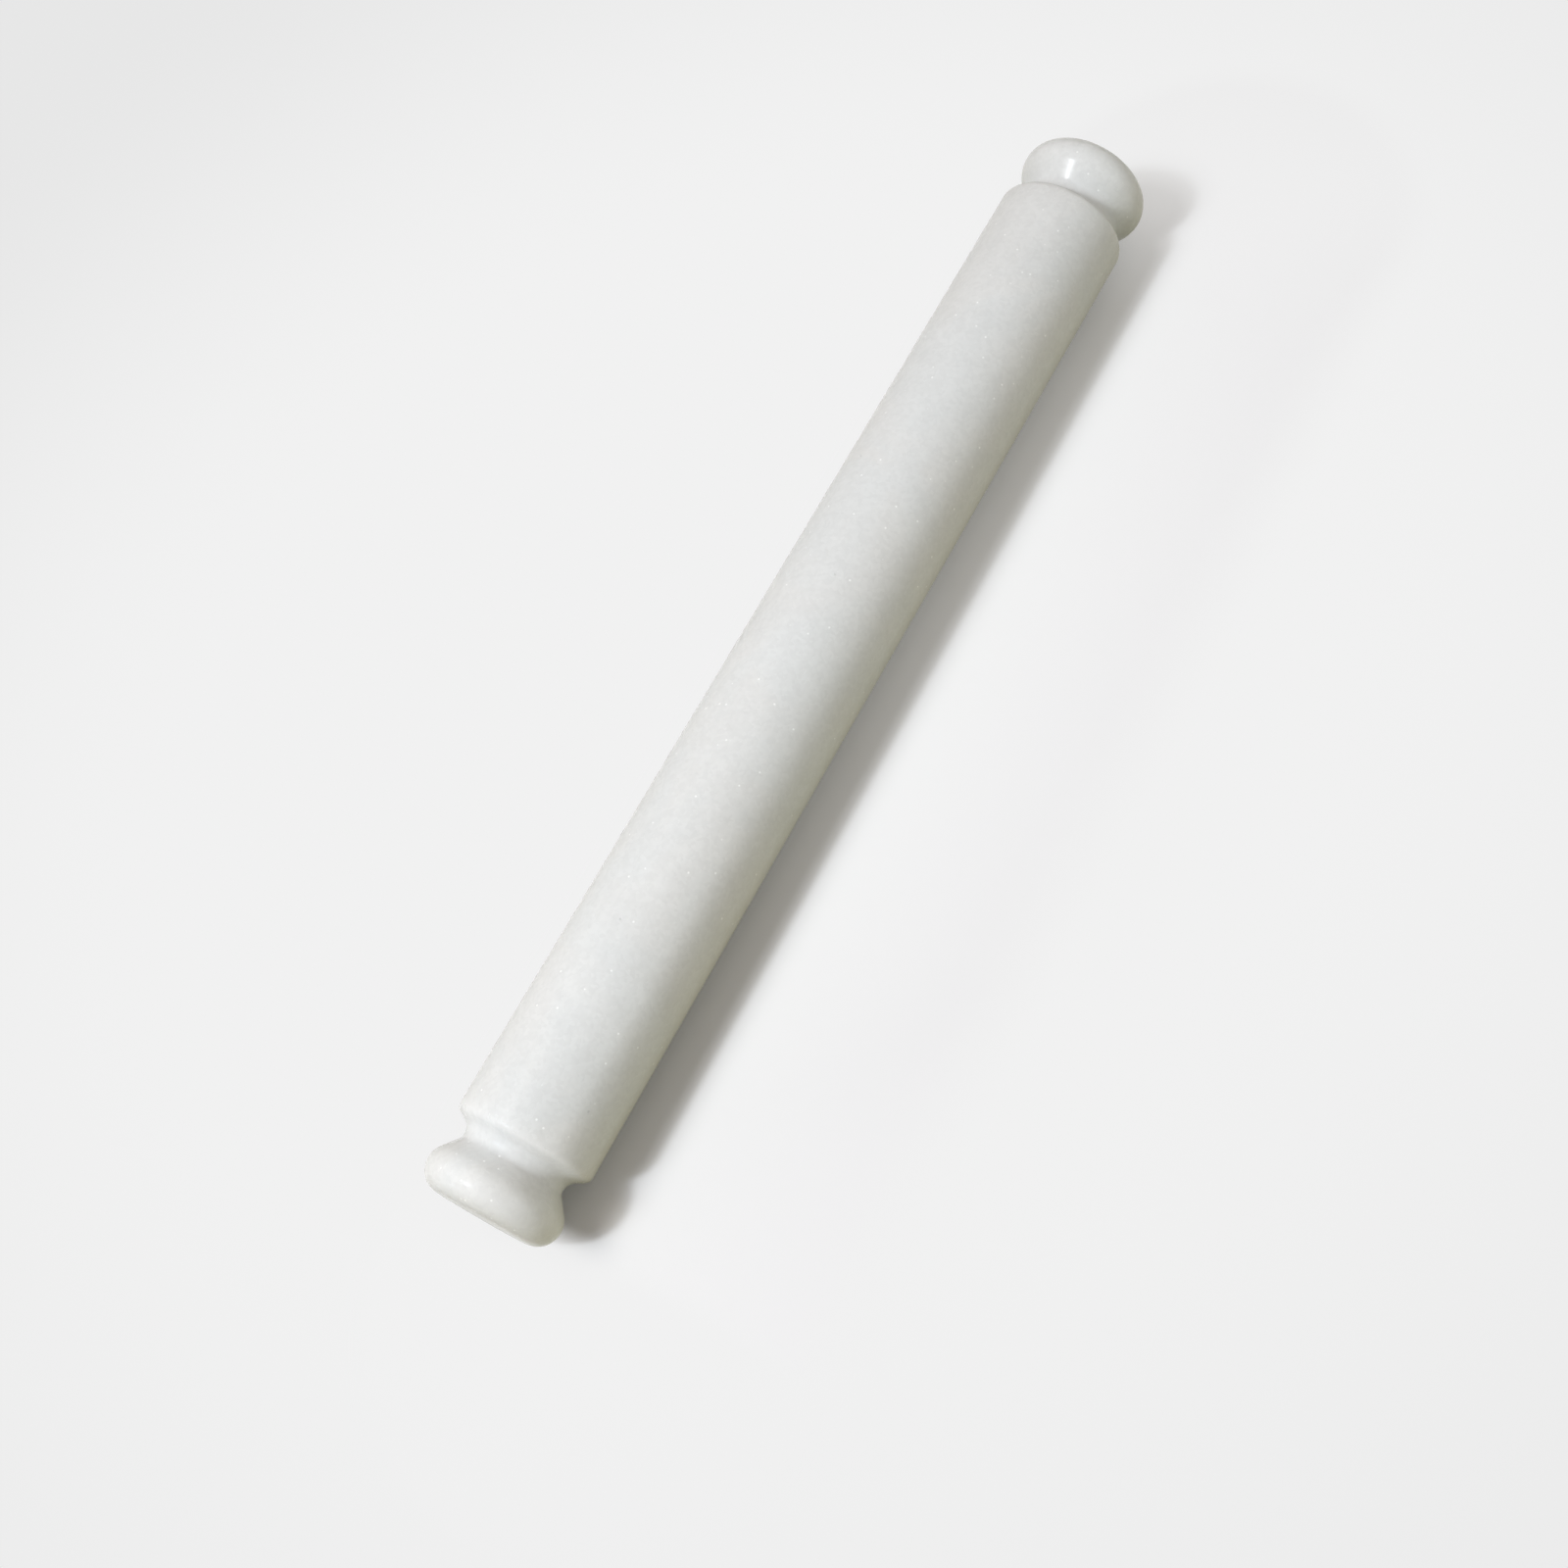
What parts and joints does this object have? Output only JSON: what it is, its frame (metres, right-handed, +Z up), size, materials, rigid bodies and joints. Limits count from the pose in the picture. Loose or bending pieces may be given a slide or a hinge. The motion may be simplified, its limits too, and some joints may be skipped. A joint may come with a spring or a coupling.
{
  "type": "marble rolling pin",
  "caption": "Slim polished white marble rolling pin: a straight barrel with a coved neck and a mushroom knob at each end, bonded on a hidden steel core rod. It rolls as a whole to flatten dough.",
  "frame": {"origin": "on the table under the middle of the barrel, at the lowest point of the pin", "axes": "+X along the pin towards its far end, +Z up from the table"},
  "size_m": [0.4146, 0.046, 0.046],
  "materials": {
    "marble": "fine-grained white marble, polished to a soft gloss",
    "rod_steel": "drawn stainless bar, as rolled"
  },
  "bodies": {
    "root": {"barrel": "marble", "near_knob": "marble", "far_knob": "marble", "core_rod": "rod_steel"}
  },
  "joints": []
}
